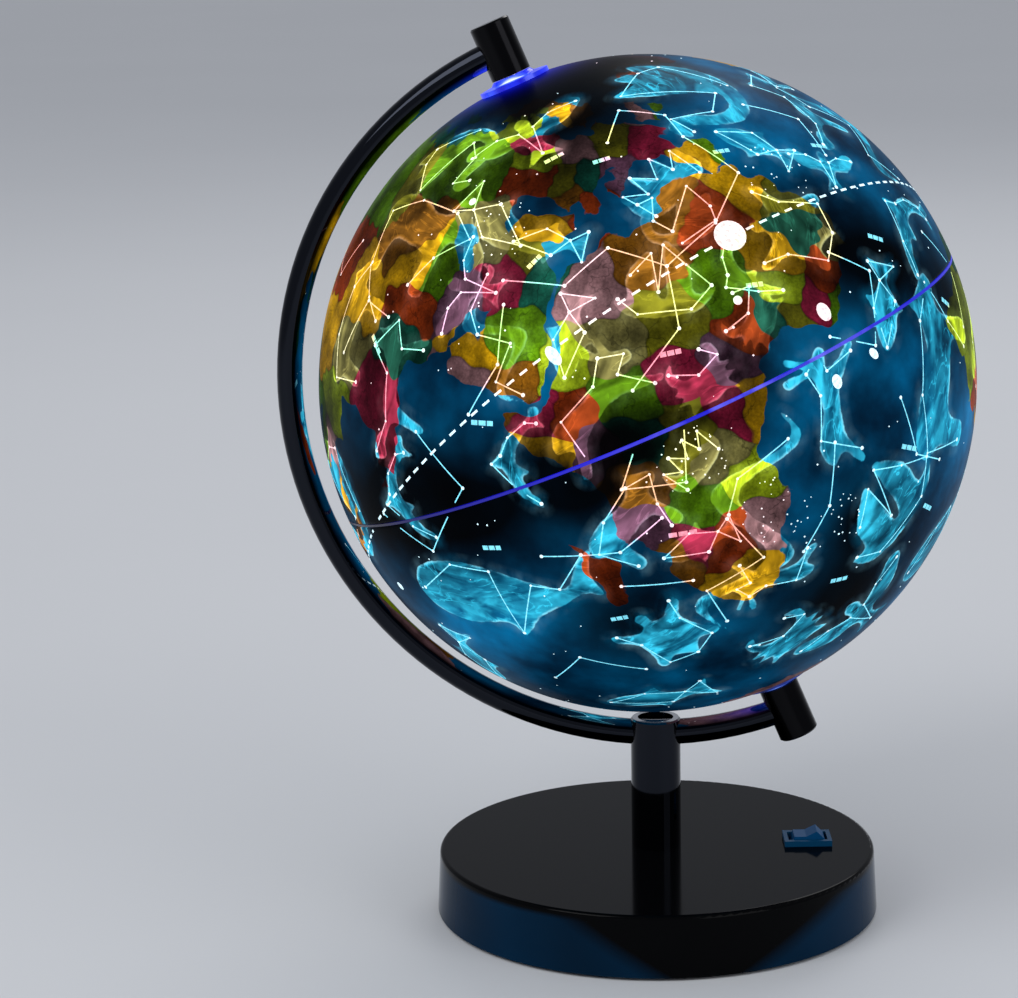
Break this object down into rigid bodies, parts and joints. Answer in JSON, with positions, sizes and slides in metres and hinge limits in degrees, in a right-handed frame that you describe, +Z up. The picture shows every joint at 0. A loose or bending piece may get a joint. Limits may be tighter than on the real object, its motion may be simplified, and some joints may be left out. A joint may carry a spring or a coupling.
{
  "type": "illuminated desk globe",
  "caption": "Lit constellation globe that turns in a half-meridian arm, on a post and a round weighted base with a rocker switch.",
  "frame": {"origin": "on the floor plane, under the axis of the post and the middle of the base", "axes": "+Z up; the globe's axis leans to -X at its north end, and the arm runs round the -X side; +X points from the post roughly towards the rocker switch"},
  "size_m": [0.2145, 0.2, 0.2793],
  "materials": {
    "gloss_black": "high gloss",
    "black_plastic": "fine matt",
    "black_rubber": "matt",
    "screw_steel": "plated",
    "ballast_steel": "rolled",
    "cell_wrap": "printed film",
    "spring_steel": "drawn wire",
    "contact_metal": "plated",
    "board_green": "solder mask",
    "board_parts": "moulded",
    "switch_blue": "satin gloss",
    "rocker_blue": "satin gloss",
    "stand_chrome": "polished, dark",
    "cap_black_chrome": "polished, dark",
    "nipple_brass": "turned",
    "holder_white": "moulded",
    "led_clear": "clear",
    "cover_frosted": "frosted",
    "wire_red": "insulation",
    "wire_black": "insulation",
    "globe_print": "printed, lit from inside",
    "seam_blue": "translucent",
    "bush_blue": "translucent",
    "bush_dark_blue": "translucent",
    "ring_white": "moulded"
  },
  "bodies": {
    "stand": {"base_cover": "gloss_black", "base_plate": "black_plastic", "foot_ring": "black_rubber", "base_screws": "screw_steel", "ballast_weights": "ballast_steel", "batteries": "cell_wrap", "battery_springs": "spring_steel", "battery_contacts": "contact_metal", "driver_board": "board_green", "driver_parts": "board_parts", "switch_housing": "switch_blue", "switch_terminals": "contact_metal", "post": "stand_chrome", "post_nipple": "nipple_brass", "post_nut": "nipple_brass", "post_washer": "screw_steel", "arm_screw": "screw_steel", "meridian_arm": "stand_chrome", "north_cap": "cap_black_chrome", "south_cap": "cap_black_chrome", "north_pin": "screw_steel", "lamp_axle": "screw_steel", "lamp_holder": "holder_white", "lamp_board": "board_green", "lamp_leds": "led_clear", "lamp_cover": "cover_frosted", "lamp_wire_red": "wire_red", "lamp_wire_black": "wire_black", "supply_leads_red": "wire_red", "supply_lead_black": "wire_black"},
    "globe": {"north_shell": "globe_print", "south_shell": "globe_print", "equator_band": "seam_blue", "north_bush": "bush_blue", "north_bush_ring": "ring_white", "south_bush": "bush_dark_blue", "south_bush_ring": "ring_white"},
    "rocker": {"switch_rocker": "rocker_blue"},
    "door": {"battery_door": "black_plastic", "door_screw": "screw_steel"}
  },
  "joints": [
    {"name": "globe_spin", "type": "hinge", "parent": "stand", "child": "globe", "pos_m": [-0.002, 0, 0.16708], "axis": [-0.3907, 0, 0.9205], "continuous": true},
    {"name": "switch_rock", "type": "hinge", "parent": "stand", "child": "rocker", "pos_m": [0.04705, 0.00578, 0.0204], "axis": [-0.1219, 0.9925, 0], "range_deg": [0, 26]},
    {"name": "door_lift_off", "type": "slide", "parent": "stand", "child": "door", "axis": [0, 0, -1], "range_m": [0, 0.02]}
  ]
}
